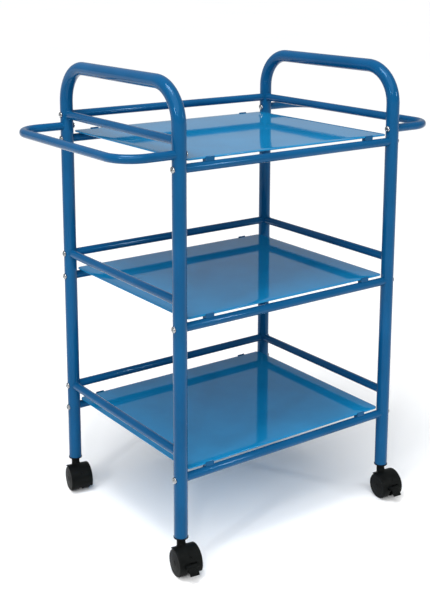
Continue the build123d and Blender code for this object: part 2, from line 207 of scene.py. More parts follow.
def moulding(name, dark, light, gloss, grain, depth):
    """Black moulded plastic: fine spark-eroded grain, flow clouds, and scuffs that take the sheen down."""
    material, tree, shader, coordinates = new_material(name)
    flow = noise(tree, stretched(tree, coordinates, MOULD_FLOW), scale=1.0, detail=4.0)
    tree.links.new(shades(tree, flow, dark, light), shader.inputs["Base Color"])
    scuff = noise(tree, coordinates, scale=330.0, detail=5.0, rough=0.65)
    tree.links.new(spread(tree, scuff, gloss[0], gloss[1]), shader.inputs["Roughness"])
    shader.inputs["Specular IOR Level"].default_value = 0.05
    slow_waves = noise(tree, coordinates, scale=120.0, detail=1.0)
    swell = relief(tree, slow_waves, depth=0.03 * MM, strength=0.6)
    texture = relief(tree, noise(tree, coordinates, grain, detail=2.0), depth, under=swell)
    tree.links.new(texture, shader.inputs["Normal"])
    return material


MATERIALS = {
    "blue_tube": paint(
        "tube_powder_coat",
        dark=(0.002, 0.054, 0.143),
        light=(0.003, 0.066, 0.172),
        sheen=(0.15, 0.55, 1.0),
        gloss=(0.08, 0.17),
        ripple=(60.0, 0.02 * MM),
        coat=0.12,
    ),
    "blue_shelf": paint(
        "shelf_enamel",
        dark=(0.004, 0.152, 0.33),
        light=(0.006, 0.178, 0.38),
        sheen=(0.5, 0.8, 1.0),
        gloss=(0.03, 0.09),
        ripple=(11.0, 0.12 * MM),
        coat=0.15,
    ),
    "plated_steel": plating("zinc_plate", colour=(0.36, 0.37, 0.38), gloss=(0.12, 0.28)),
    "bright_steel": plating("turned_steel", colour=(0.60, 0.59, 0.58), gloss=(0.22, 0.42)),
    "black_collar": moulding(
        "collar_plastic",
        dark=(0.003, 0.003, 0.0035),
        light=(0.006, 0.006, 0.007),
        gloss=(0.34, 0.48),
        grain=1500.0,
        depth=0.010 * MM,
    ),
    "black_hood": moulding(
        "hood_plastic",
        dark=(0.003, 0.0035, 0.0035),
        light=(0.006, 0.0068, 0.0066),
        gloss=(0.34, 0.50),
        grain=1300.0,
        depth=0.016 * MM,
    ),
    "black_wheel": moulding(
        "wheel_nylon",
        dark=(0.004, 0.0045, 0.0045),
        light=(0.008, 0.0088, 0.0086),
        gloss=(0.38, 0.52),
        grain=1700.0,
        depth=0.008 * MM,
    ),
}


# ---------------------------------------------------------------- mesh tools
def skin(rings, loop=False, close_ends=False):
    """Faces from each ring of points to the next; loop joins the last ring to the first."""
    count = len(rings[0])
    points = [point for ring in rings for point in ring]
    steps = list(zip(range(len(rings)), range(1, len(rings))))
    if loop:
        steps.append((len(rings) - 1, 0))
    faces = []
    for first, second in steps:
        for here in range(count):
            after = (here + 1) % count
            faces.append(
                (first * count + here, first * count + after, second * count + after, second * count + here)
            )
    if close_ends:
        faces.append(tuple(range(count)))
        faces.append(tuple(range(len(points) - count, len(points))))
    return points, faces


def closed_mesh(name, forms):
    """One mesh made of closed forms, with its faces turned outwards."""
    build = bmesh.new()
    for points, faces in forms:
        corners = [build.verts.new(point) for point in points]
        for face in faces:
            build.faces.new([corners[index] for index in face])
        bmesh.ops.remove_doubles(build, verts=corners, dist=MERGE_GAP)
    bmesh.ops.recalc_face_normals(build, faces=build.faces)
    mesh = bpy.data.meshes.new(name)
    build.to_mesh(mesh)
    build.free()
    return mesh


def piece(name, forms, body, finish, replaced=(), bevel=0.0):
    """One object made of closed forms, riding on a CAD body in place of CAD nodes."""
    mesh = closed_mesh(name, forms)
    mesh.shade_smooth()
    mesh.set_sharp_from_angle(angle=math.radians(SHARP_ANGLE))
    mesh.materials.append(MATERIALS[finish])
    made = bpy.data.objects.new(name, mesh)
    bpy.context.scene.collection.objects.link(made)
    if bevel:
        rounding = made.modifiers.new("rounded_edges", "BEVEL")
        rounding.width = bevel
        rounding.segments = 3
        rounding.limit_method = "ANGLE"
        rounding.angle_limit = math.radians(SHARP_ANGLE)
        rounding.harden_normals = True
    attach(made, body)
    if replaced:
        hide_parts(*replaced)
    return made


def rounded_path(corners, radius, steps):
    """The open path through the corners, with an arc of the radius at each inner corner."""
    path = [corners[0]]
    for before, corner, after in zip(corners, corners[1:], corners[2:]):
        into = (corner - before).normalized()
        onward = (after - corner).normalized()
        turn = into.angle(onward)
        inward = (onward - into * onward.dot(into)).normalized()
        start = corner - into * radius * math.tan(turn / 2)
        centre = start + inward * radius
        for step in range(steps + 1):
            angle = turn * step / steps
            path.append(centre - inward * radius * math.cos(angle) + into * radius * math.sin(angle))
    path.append(corners[-1])
    return path


def rounded_outline(corners, radius, steps=5):
    """A closed outline through the corners, each rounded by the radius."""
    outline = []
    for index, corner in enumerate(corners):
        before = corners[index - 1]
        after = corners[(index + 1) % len(corners)]
        outline += rounded_path([before, corner, after], radius, steps)[1:-1]
    return outline


def circle_offsets(normal, tangent, radius, count):
    """Points of a circle about the tangent, as offsets from its centre."""
    binormal = tangent.cross(normal).normalized()
    turns = [2 * math.pi * step / count for step in range(count)]
    return [(normal * math.cos(turn) + binormal * math.sin(turn)) * radius for turn in turns]


def tube_rings(path, normal, radius, count=TUBE_SIDES):
    """Rings of a tube along a flat path whose plane has the given normal."""
    rings = []
    for index, point in enumerate(path):
        before = path[max(index - 1, 0)]
        after = path[min(index + 1, len(path) - 1)]
        tangent = (after - before).normalized()
        rings.append([point + offset for offset in circle_offsets(normal, tangent, radius, count)])
    return rings


def on_post(point, post, away):
    """The point moved along the level direction away, onto the surface of the post at (x, y)."""
    across = Vector((-away.y, away.x, 0))
    offset = (point - Vector((post[0], post[1], point.z))).dot(across)
    reach = math.sqrt(POST_RADIUS**2 - offset**2)
    return Vector((post[0], post[1], point.z)) + away * reach + across * offset


def coped_tube(path, normal, start_post, start_away, end_post, end_away):
    """A hollow rail whose two ends are cut to the round of the posts that they butt against."""
    outside = tube_rings(path, normal, RAIL_RADIUS)
    inside = tube_rings(path, normal, RAIL_RADIUS - TUBE_WALL)
    for rings in (outside, inside):
        rings[0] = [on_post(point, start_post, start_away) for point in rings[0]]
        rings[-1] = [on_post(point, end_post, end_away) for point in rings[-1]]
    return skin(outside + inside[::-1], loop=True)


def lathe(profile, origin, axis, count=96):
    """The profile of (distance along the axis, radius) turned round the axis."""
    axis = axis.normalized()
    across = axis.orthogonal().normalized()
    rings = []
    for along, radius in profile:
        offsets = circle_offsets(across, axis, max(radius, 0), count)
        rings.append([origin + axis * along + offset for offset in offsets])
    return skin(rings)


def flat(x, y):
    return Vector((x, y, 0))


def on_circle(radius, turn):
    return flat(radius * math.cos(turn), radius * math.sin(turn))


def steps_between(start, end, count):
    return [start + (end - start) * step / count for step in range(count + 1)]


def arc(radius, start, end, count):
    return [on_circle(radius, turn) for turn in steps_between(start, end, count)]


def distinct(values, gap):
    """The values in order, without any that are within the gap of the one before."""
    kept = []
    for value in sorted(values):
        if not kept or value - kept[-1] > gap:
            kept.append(value)
    return kept


def fillets(corners, radius, steps=5):
    """A flat profile with its inner corners rounded, as (x, y) pairs."""
    path = rounded_path([flat(*corner) for corner in corners], radius, steps)
    return [(point.x, point.y) for point in path]


# ---------------------------------------------------------------- end hoops, the push bars
def hoop_form(end):
    x = end * HALF_X
    feet = [Vector((x, side * HALF_Y, TUBE_END)) for side in (-1, 1)]
    shoulders = [Vector((x, side * HALF_Y, PUSH_BAR_HEIGHT)) for side in (-1, 1)]
    path = rounded_path([feet[0], shoulders[0], shoulders[1], feet[1]], HOOP_BEND, BEND_STEPS)
    lifted = [path[0] + UP * TUBE_LIP, *path[1:-1], path[-1] + UP * TUBE_LIP]
    outside = tube_rings(lifted, ALONG, POST_RADIUS)
    inside = tube_rings(lifted, ALONG, POST_RADIUS - TUBE_WALL)
    lip_radius = POST_RADIUS - TUBE_LIP
    first_lip = [feet[0] + offset for offset in circle_offsets(ALONG, UP, lip_radius, TUBE_SIDES)]
    last_lip = [feet[1] + offset for offset in circle_offsets(ALONG, -UP, lip_radius, TUBE_SIDES)]
    return skin([first_lip, *outside, last_lip, *inside[::-1]], loop=True)


for end_name, end in ENDS.items():
    piece(f"{end_name}_push_hoop", [hoop_form(end)], "frame", "blue_tube", [f"{end_name}_hoop"])

# ---------------------------------------------------------------- end rails, welded to the hoops
WELD_RADIUS = 1.1 * MM
WELD_SIDES = 12
WELD_STEPS = 180
WELD_RIPPLES = 26
WELD_RIPPLE_SHARE = 0.10
WELD_SWELLS = 5
WELD_SWELL_SHARE = 0.08
WELD_SWELL_SHIFT = 40  # radians for each metre along X, so that the two ends differ


def weld_bead(x, side, height):
    """Rippled bead of weld round the joint of an end rail and a post."""
    away = DEEP * -side
    post = (x, side * HALF_Y)
    rings = []
    for step in range(WELD_STEPS):
        turn = 2 * math.pi * step / WELD_STEPS
        spoke = ALONG * math.cos(turn) + UP * math.sin(turn)
        joint = on_post(Vector((x, 0, height)) + spoke * RAIL_RADIUS, post, away)
        ripple = 1 + WELD_RIPPLE_SHARE * math.sin(turn * WELD_RIPPLES)
        ripple += WELD_SWELL_SHARE * math.sin(turn * WELD_SWELLS + x * WELD_SWELL_SHIFT)
        ring = []
        for corner in range(WELD_SIDES):
            angle = 2 * math.pi * corner / WELD_SIDES
            ring.append(joint + (spoke * math.cos(angle) + away * math.sin(angle)) * WELD_RADIUS * ripple)
        rings.append(ring)
    return skin(rings, loop=True)


for end_name, end in ENDS.items():
    x = end * HALF_X
    for level, height in zip(LEVELS, GUARD_HEIGHTS):
        path = [Vector((x, -HALF_Y, height)), Vector((x, HALF_Y, height))]
        form = coped_tube(path, UP, (x, -HALF_Y), DEEP, (x, HALF_Y), -DEEP)
        node = f"{end_name}_end_rail_{level}"
        piece(f"{node}_tube", [form], "frame", "blue_tube", [node])
    beads = [weld_bead(x, side, height) for side in SIDES.values() for height in GUARD_HEIGHTS]
    piece(f"{end_name}_weld_beads", beads, "frame", "blue_tube")


# ---------------------------------------------------------------- long rails
def long_rail(node, y, height):
    path = [Vector((-HALF_X, y, height)), Vector((HALF_X, y, height))]
    form = coped_tube(path, UP, (-HALF_X, y), ALONG, (HALF_X, y), -ALONG)
    piece(f"{node}_tube", [form], "frame", "blue_tube", [node])


for level, guard_height, shelf_height in zip(LEVELS, GUARD_HEIGHTS, SHELF_RAIL_HEIGHTS):
    long_rail(f"back_guard_rail_{level}", HALF_Y, guard_height)
    for side_name, side in SIDES.items():
        long_rail(f"{side_name}_shelf_rail_{level}", side * HALF_Y, shelf_height)

# ---------------------------------------------------------------- end handles
for end_name, end in ENDS.items():
    posts = [(end * HALF_X, side * HALF_Y) for side in (-1, 1)]
    roots = [Vector((x, y, HANDLE_HEIGHT)) for x, y in posts]
    knuckles = [Vector((end * HANDLE_BAR_X, side * HALF_Y, HANDLE_HEIGHT)) for side in (-1, 1)]
    path = rounded_path([roots[0], knuckles[0], knuckles[1], roots[1]], HANDLE_BEND, BEND_STEPS)
    form = coped_tube(path, UP, posts[0], ALONG * end, posts[1], ALONG * end)
    piece(f"{end_name}_handle_bar", [form], "frame", "blue_tube", [f"{end_name}_handle"])


# ---------------------------------------------------------------- shelves
def shelf_ring(half, inset, z):
    """Level ring of the shelf's outline, drawn in by the inset."""
    radius = max(SHELF_CORNER - inset, SHELF_LEAST_CORNER)
    corners = [flat(sx * (half.x - inset), sy * (half.y - inset)) for sx, sy in QUARTERS]
    return [point + UP * z for point in rounded_outline(corners, radius, SHELF_CORNER_STEPS)]


def shelf_form(node):
    """Folded sheet: flat top, round edge, and a hem turned under all round."""
    low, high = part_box(node)
    half = (high - low) / 2
    profile = []
    for step, turn in enumerate(steps_between(0, math.pi, SHELF_EDGE_STEPS)):
        rise = math.cos(turn) * SHELF_EDGE
        middle = high.z - SHELF_EDGE if step <= SHELF_EDGE_STEPS / 2 else low.z + SHELF_EDGE
        profile.append((SHELF_EDGE * (1 - math.sin(turn)), middle + rise))
    profile.insert(0, (SHELF_HEM, high.z))
    profile.append((SHELF_HEM - SHELF_HEM_NICK, low.z))
    profile.append((SHELF_HEM, low.z + SHELF_HEM_NICK))
    profile.append((SHELF_HEM, high.z - SHELF_SHEET))
    return skin([shelf_ring(half, inset, z) for inset, z in profile], close_ends=True)


for level in LEVELS:
    piece(f"shelf_{level}_sheet", [shelf_form(f"shelf_{level}")], "frame", "blue_shelf", [f"shelf_{level}"])

# ---------------------------------------------------------------- shelf clips
CLIP_TAB = 2.0 * MM
CLIP_WIDTH = 18 * MM
CLIP_DEPTH = 11 * MM
CLIP_EDGE = 0.5 * MM
CLIP_TAB_CORNER = 0.8 * MM
SADDLE_STEPS = 10


def clip_form(clip_x, side, level, rail_height):
    """Bracket that saddles the rail, carries the shelf's hem and stands up beside its edge."""
    low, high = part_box(f"shelf_clips_{level}")
    pad_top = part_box(f"shelf_{level}")[0].z
    tab_face = high.y - CLIP_TAB
    front = high.y - CLIP_DEPTH
    inner_turn = math.pi - math.asin((low.z - rail_height) / RAIL_RADIUS)
    outer_turn = math.acos((high.y - HALF_Y) / RAIL_RADIUS)
    saddle = arc(RAIL_RADIUS, inner_turn, outer_turn, SADDLE_STEPS)
    outline = [flat(HALF_Y, rail_height) + point for point in saddle]
    tab = [outline[-1], flat(high.y, high.z), flat(tab_face, high.z), flat(tab_face, pad_top)]
    outline += rounded_path(tab, CLIP_TAB_CORNER, 5)[1:]
    outline += [flat(front, pad_top), flat(front, low.z)]
    rings = []
    for x in (clip_x - CLIP_WIDTH / 2, clip_x + CLIP_WIDTH / 2):
        rings.append([Vector((x, side * point.x, point.y)) for point in outline])
    return skin(rings, close_ends=True)


for level, rail_height in zip(LEVELS, SHELF_RAIL_HEIGHTS):
    clip_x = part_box(f"shelf_clips_{level}")[1].x - CLIP_WIDTH / 2
    forms = [
        clip_form(end * clip_x, side, level, rail_height)
        for end in ENDS.values()
        for side in SIDES.values()
    ]
    piece(f"shelf_brackets_{level}", forms, "frame", "blue_tube", [f"shelf_clips_{level}"], CLIP_EDGE)

# ---------------------------------------------------------------- screws
SCREW_RADIUS = 2.5 * MM
SCREW_GRIP = 43 * MM
HEAD_RADIUS = 5.9 * MM
HEAD_HEIGHT = 3.4 * MM
HEAD_SKIRT = 0.8 * MM
HEAD_SQUARENESS = 2.6  # 2 is a round crown, and more is flatter on top
HEAD_STEPS = 22
HEAD_SIDES = 96
RECESS_REACH = 2.9 * MM
RECESS_DEPTH = 1.9 * MM
RECESS_RAMP = 0.6  # share of the reach over which the recess gets deeper
RECESS_INSIDE = 0.5 * MM
RECESS_OUTSIDE = 0.8 * MM
RAIL_SCREW_TURN = 0.7  # radians from the cross of one screw to the next
HANDLE_SCREW_TURN = 0.4


def smooth_step(value):
    value = min(max(value, 0.0), 1.0)
    return value * value * (3 - 2 * value)


def head_height(radius, turn):
    """Height of the domed head at a point of it, less the cross recess there."""
    share = (radius / HEAD_RADIUS) ** HEAD_SQUARENESS
    dome = HEAD_SKIRT + (HEAD_HEIGHT - HEAD_SKIRT) * math.sqrt(max(1 - share, 0))
    sides = (abs(radius * math.cos(turn)), abs(radius * math.sin(turn)))
    cut = 0.0
    for reach, across in (sides, sides[::-1]):
        slope = min(max((RECESS_REACH - reach) / (RECESS_RAMP * RECESS_REACH), 0.0), 1.0)
        wall = smooth_step((RECESS_OUTSIDE - across) / (RECESS_OUTSIDE - RECESS_INSIDE))
        cut = max(cut, RECESS_DEPTH * slope * wall)
    return dome - cut


def screw_form(seat, outward, clocking):
    """Cross-recess truss head on its seat, with the shank going in against outward."""
    across = outward.orthogonal().normalized()
    deep = outward.cross(across)
    turns = [2 * math.pi * side / HEAD_SIDES for side in range(HEAD_SIDES)]
    spans = [(-SCREW_GRIP, SCREW_RADIUS), (0, SCREW_RADIUS), (0, HEAD_RADIUS)]
    rings = [[(height, radius)] * HEAD_SIDES for height, radius in spans]
    for bend in steps_between(math.pi / 2, 0, HEAD_STEPS):
        radius = HEAD_RADIUS * math.sin(bend)
        rings.append([(head_height(radius, turn), radius) for turn in turns])
    placed = []
    for ring in rings:
        row = []
        for turn, (height, radius) in zip(turns, ring):
            spoke = across * math.cos(turn + clocking) + deep * math.sin(turn + clocking)
            row.append(seat + outward * height + spoke * radius)
        placed.append(row)
    points, faces = skin(placed)
    faces.append(tuple(range(HEAD_SIDES)))
    return points, faces


rail_lines = [(HALF_Y, height) for height in GUARD_HEIGHTS]
rail_lines += [(side * HALF_Y, height) for side in SIDES.values() for height in SHELF_RAIL_HEIGHTS]
rail_screws = []
handle_screws = []
for end in ENDS.values():
    for index, (y, height) in enumerate(rail_lines):
        seat = Vector((end * (HALF_X + POST_RADIUS), y, height))
        rail_screws.append(screw_form(seat, ALONG * end, RAIL_SCREW_TURN * index))
    for side in SIDES.values():
        seat = Vector((end * (HALF_X - POST_RADIUS), side * HALF_Y, HANDLE_HEIGHT))
        handle_screws.append(screw_form(seat, ALONG * -end, HANDLE_SCREW_TURN + side))
piece("rail_truss_head_screws", rail_screws, "frame", "plated_steel", ["rail_screws"])
piece("handle_truss_head_screws", handle_screws, "frame", "plated_steel", ["handle_screws"])

# ---------------------------------------------------------------- casters
joints = {joint["name"]: joint for joint in frame["joints"]}
CORNERS = ("front_left", "front_right", "back_left", "back_right")
BRAKED = ("front_left", "front_right")

WHEEL_INNER_FACE = 4.8 * MM
WHEEL_WIDTH = 17.7 * MM
WHEEL_DOME = 2.2 * MM
WHEEL_SHOULDER = 2.5 * MM
WHEEL_RIM_WALL = 3 * MM
WHEEL_DISC_WALL = 2.4 * MM
WHEEL_NICK = 0.4 * MM
WHEEL_HUB_RADIUS = 6.5 * MM
WHEEL_BORE = 3.05 * MM
WHEEL_SIDES = 128
# Radius and depth below the dome, in millimetres: hub button, sunk panel and rim.
HUB_BUTTON = ((0, 0.0), (2.5, 0.0), (4.6, 0.0), (5.1, 0.06), (5.4, 0.35), (5.8, 0.5))
SUNK_PANEL = ((6.6, 0.5), (7.4, 0.42), (11, 0.5), (15, 0.5), (18.2, 0.45), (18.9, 0.4))
WHEEL_RIM = ((19.3, 0.12), (19.8, 0.0), (21.2, 0.0), (22.1, 0.04))

GUARD_INSIDE = 26.2 * MM
GUARD_THICKNESS = 1.8 * MM
GUARD_HALF_WIDTH = 22.5 * MM
GUARD_START = math.radians(30)
GUARD_END = math.radians(208)
GUARD_SHOULDER = 1.5 * MM
GUARD_ROUND_OVER = 0.8 * GUARD_THICKNESS
GUARD_STEPS = 60
GUARD_COLUMNS = 24
GUARD_LEAST_STEP = 0.03 * MM
LIP_CORNER = 21 * MM  # corner radius of the mudguard's edge on the stem's side
LIP_CORNER_STEPS = 14
LIP_REACH = math.radians(75)  # the mudguard's rows are moved back over this much of its turn
GUARD_HOLE_RADIUS = 2.5 * MM
GUARD_HOLE_TURN = math.radians(143)
WEB_HALF_WIDTH = 3.5 * MM
WEB_BOSS_RADIUS = 8 * MM
WEB_BOSS_HALF_WIDTH = 4.5 * MM
WEB_BOSS_EDGE = 0.5 * MM
WEB_CLEAR_RADIUS = 20 * MM
NECK_RADIUS = 8 * MM
NECK_EDGE = ((0.8 * MM, 0), (0.25 * MM, 0.2 * MM), (0, 0.8 * MM))  # in from the side, down from the top
NECK_FLARE = 2.6 * MM
NECK_FLARE_STEPS = 10
NECK_LEAST_DROP = 1 * MM
WINDOW_HALF_WIDTH = 9.9 * MM
WINDOW_LEAD = math.radians(8)
LUG_RADIUS = 3.4 * MM
LUG_THICKNESS = 2.4 * MM
SUNK = 0.4 * MM  # how far one moulded form goes into the next

COLLAR_RADIUS = 13.5 * MM
COLLAR_EDGE = 1.0 * MM
COLLAR_TOP_EDGE = 0.2 * MM
STEM_BORE = 5.55 * MM
SOCKET_TOP = 97 * MM
BORE_TOP = 92.05 * MM


class Caster:
    """A caster's own axes, from the hub: u along the axle, x towards the stem and y up."""

    def __init__(self, corner):
        swivel = Vector(joints[f"{corner}_swivel"]["pos_m"])
        roll = joints[f"{corner}_outer_roll"]
        self.axle = Vector(roll["axis"]).normalized()
        self.to_stem = UP.cross(self.axle)
        self.foot = Vector((swivel.x, swivel.y, 0))
        self.hub = Vector(roll["pos_m"])
        self.neck_top = swivel.z
        self.trail = (self.foot - self.hub).dot(self.to_stem)
        self.braked = corner in BRAKED
        if self.braked:
            pivot = Vector(joints[f"{corner}_brake_press"]["pos_m"]) - self.hub
            self.pivot = Vector((pivot.dot(self.to_stem), pivot.z))
            self.pivot_turn = math.atan2(self.pivot.y, self.pivot.x)
            self.window_start = self.pivot_turn - WINDOW_LEAD

    def side(self, u, x, y):
        """The point at x and y of the side view and u along the axle."""
        return self.hub + self.axle * u + self.to_stem * x + UP * y

    def polar(self, u, radius, turn):
        return self.side(u, radius * math.cos(turn), radius * math.sin(turn))

    def extruded(self, outline, start, end):
        """A closed side-view outline carried along the axle from start to end."""
        rings = [[self.side(u, point.x, point.y) for point in outline] for u in (start, end)]
        return skin(rings, close_ends=True)


EDGE_SHARES = (0, 0.04, 0.15, 0.35, 0.65, 1.0)


def edge_steps(reach):
    """Distances from an edge at which the rounding of that edge needs a row of points."""
    return [reach * share for share in EDGE_SHARES]


def guard_edge(caster, u, turn):
    """Distance from a point of the mudguard to its nearest end or window edge."""
    gaps = [GUARD_INSIDE * (turn - GUARD_START), GUARD_INSIDE * (GUARD_END - turn)]
    if caster.braked:
        beside = max(abs(u) - WINDOW_HALF_WIDTH, 0)
        before = max(GUARD_INSIDE * (caster.window_start - turn), 0)
        gaps.append(math.hypot(beside, before))
    return min(gaps)


def rounding(distance, reach):
    """How far a surface drops at that distance from an edge rounded over the reach."""
    left = reach - min(max(distance, 0), reach)
    return reach - math.sqrt(reach * reach - left * left)


def beside_lip(u, turn):
    """The turn of a mudguard point, moved back where the corners of the front lip are rounded."""
    past = max(abs(u) - GUARD_HALF_WIDTH + LIP_CORNER, 0)
    drawn_in = LIP_CORNER - math.sqrt(max(LIP_CORNER**2 - past**2, 0))
    share = max(1 - (turn - GUARD_START) / LIP_REACH, 0)
    return turn + math.asin(drawn_in / GUARD_INSIDE) * share


def guard_form(caster):
    """Moulded mudguard: a shell round the wheels with soft shoulders, and the pedal's window cut out."""
    turns = steps_between(GUARD_START, GUARD_END, GUARD_STEPS)
    columns = steps_between(-GUARD_HALF_WIDTH, GUARD_HALF_WIDTH, GUARD_COLUMNS)
    for gap in edge_steps(GUARD_ROUND_OVER):
        turns += [GUARD_START + gap / GUARD_INSIDE, GUARD_END - gap / GUARD_INSIDE]
    corner_bends = steps_between(0, math.pi / 2, LIP_CORNER_STEPS)
    corner_gaps = [LIP_CORNER * (1 - math.sin(bend)) for bend in corner_bends]
    for gap in edge_steps(GUARD_SHOULDER) + corner_gaps:
        columns += [GUARD_HALF_WIDTH - gap, gap - GUARD_HALF_WIDTH]
    window_start = GUARD_END
    if caster.braked:
        window_start = caster.window_start
        for gap in edge_steps(GUARD_ROUND_OVER):
            turns.append(window_start - gap / GUARD_INSIDE)
            columns += [WINDOW_HALF_WIDTH + gap, -WINDOW_HALF_WIDTH - gap]
    turns = distinct(turns, GUARD_LEAST_STEP / GUARD_INSIDE)
    columns = distinct(columns, GUARD_LEAST_STEP)

    def kept(row, column):
        if not (0 <= row < len(turns) - 1 and 0 <= column < len(columns) - 1):
            return False
        middle_turn = (turns[row] + turns[row + 1]) / 2
        middle_u = (columns[column] + columns[column + 1]) / 2
        return middle_turn < window_start or abs(middle_u) > WINDOW_HALF_WIDTH

    points = []
    for turn in turns:
        for u in columns:
            edge_drop = rounding(guard_edge(caster, u, turn), GUARD_ROUND_OVER)
            shoulder_drop = rounding(GUARD_HALF_WIDTH - abs(u), GUARD_SHOULDER)
            outside = GUARD_INSIDE + GUARD_THICKNESS - max(edge_drop, shoulder_drop)
            points.append(caster.polar(u, outside, beside_lip(u, turn)))
            points.append(caster.polar(u, GUARD_INSIDE, beside_lip(u, turn)))

    def index(row, column, layer):
        return 2 * (row * len(columns) + column) + layer

    faces = []
    for row in range(len(turns) - 1):
        for column in range(len(columns) - 1):
            if not kept(row, column):
                continue
            corners = [(row, column), (row, column + 1), (row + 1, column + 1), (row + 1, column)]
            faces.append(tuple(index(*corner, 0) for corner in corners))
            faces.append(tuple(index(*corner, 1) for corner in reversed(corners)))
            beside = [(row - 1, column), (row, column + 1), (row + 1, column), (row, column - 1)]
            for side, other in enumerate(beside):
                if not kept(*other):
                    first = corners[side]
                    second = corners[(side + 1) % 4]
                    wall = (index(*first, 0), index(*first, 1), index(*second, 1), index(*second, 0))
                    faces.append(wall)
    used = sorted({corner for face in faces for corner in face})
    renumbered = {old: new for new, old in enumerate(used)}
    return [points[old] for old in used], [tuple(renumbered[corner] for corner in face) for face in faces]


def neck_form(caster):
    """Round neck under the stem, flared where it runs into the mudguard."""
    guard_radius = GUARD_INSIDE + GUARD_THICKNESS - SUNK
    turns = [2 * math.pi * step / TUBE_SIDES for step in range(TUBE_SIDES)]
    spokes = [caster.axle * math.cos(turn) + caster.to_stem * math.sin(turn) for turn in turns]
    rings = [[caster.foot + UP * caster.neck_top] * TUBE_SIDES]
    for inset, drop in NECK_EDGE:
        edge = caster.foot + UP * (caster.neck_top - drop)
        rings.append([edge + spoke * (NECK_RADIUS - inset) for spoke in spokes])
    for share in steps_between(0.0, 1.0, NECK_FLARE_STEPS):
        ring = []
        for turn, spoke in zip(turns, spokes):
            flare_here = NECK_FLARE * min(1.0, 1 - math.sin(turn)) * (1 - math.sqrt(1 - share * share))
            radius = NECK_RADIUS + flare_here
            forward = min(caster.trail + radius * math.sin(turn), guard_radius * math.cos(GUARD_START))
            surface = caster.hub.z + math.sqrt(guard_radius**2 - forward**2)
            top = surface + 2 * NECK_FLARE * (1 - share)
            ring.append(caster.foot + spoke * radius + UP * min(top, caster.neck_top - NECK_LEAST_DROP))
        rings.append(ring)
    centre = caster.polar(0, GUARD_INSIDE + SUNK, math.acos(caster.trail / (GUARD_INSIDE + SUNK)))
    rings.append([centre] * TUBE_SIDES)
    return skin(rings)


def web_forms(caster):
    """Plate between the wheels, and the boss in it that holds the axle."""
    rim = GUARD_INSIDE + SUNK
    if caster.braked:
        outline = arc(rim, GUARD_START, caster.window_start, count=40)
        outline += arc(WEB_CLEAR_RADIUS, caster.window_start, GUARD_END, count=12)
    else:
        outline = arc(rim, GUARD_START, GUARD_END, count=48)
    outline += arc(WEB_BOSS_RADIUS - SUNK, GUARD_END, GUARD_START + 2 * math.pi, count=24)
    plate = caster.extruded(outline, -WEB_HALF_WIDTH, WEB_HALF_WIDTH)
    section = [
        (-WEB_BOSS_HALF_WIDTH, 0),
        (-WEB_BOSS_HALF_WIDTH, WEB_BOSS_RADIUS),
        (WEB_BOSS_HALF_WIDTH, WEB_BOSS_RADIUS),
        (WEB_BOSS_HALF_WIDTH, 0),
    ]
    return [plate, lathe(fillets(section, WEB_BOSS_EDGE), caster.hub, caster.axle)]


def lug_forms(caster):
    """The two ears that hold the pedal's pin."""
    root = GUARD_INSIDE + SUNK
    right_angle = math.pi / 2
    ear = arc(LUG_RADIUS, caster.pivot_turn - right_angle, caster.pivot_turn + right_angle, count=16)
    outline = [
        on_circle(root, caster.window_start),
        *[flat(caster.pivot.x, caster.pivot.y) + point for point in ear],
        on_circle(root, caster.pivot_turn + WINDOW_LEAD),
    ]
    spans = [
        (WINDOW_HALF_WIDTH, WINDOW_HALF_WIDTH + LUG_THICKNESS),
        (-WINDOW_HALF_WIDTH - LUG_THICKNESS, -WINDOW_HALF_WIDTH),
    ]
    return [caster.extruded(outline, start, end) for start, end in spans]


def bored(made, centre, axis, radius, depth):
    """The piece with a round hole cut through it."""
    profile = [(-depth, 0), (-depth, radius), (depth, radius), (depth, 0)]
    cutter_mesh = closed_mesh("cutter", [lathe(profile, centre, axis, count=32)])
    cutter = bpy.data.objects.new("cutter", cutter_mesh)
    bpy.context.scene.collection.objects.link(cutter)
    cutting = made.modifiers.new("hole", "BOOLEAN")
    cutting.operation = "DIFFERENCE"
    cutting.solver = "EXACT"
    cutting.object = cutter
    bpy.context.view_layer.update()
    evaluated = made.evaluated_get(bpy.context.evaluated_depsgraph_get())
    cut_mesh = bpy.data.meshes.new_from_object(evaluated)
    made.modifiers.clear()
    old_mesh = made.data
    made.data = cut_mesh
    bpy.data.meshes.remove(old_mesh)
    bpy.data.objects.remove(cutter)
    bpy.data.meshes.remove(cutter_mesh)
    return made


def dome_height(radius, wheel_radius):
    """How far out the wheel's disc stands at that radius."""
    rim = WHEEL_INNER_FACE + WHEEL_WIDTH - WHEEL_DOME
    disc_radius = wheel_radius - WHEEL_SHOULDER
    ball = (disc_radius**2 + WHEEL_DOME**2) / (2 * WHEEL_DOME)
    return rim + WHEEL_DOME - ball + math.sqrt(ball**2 - radius**2)


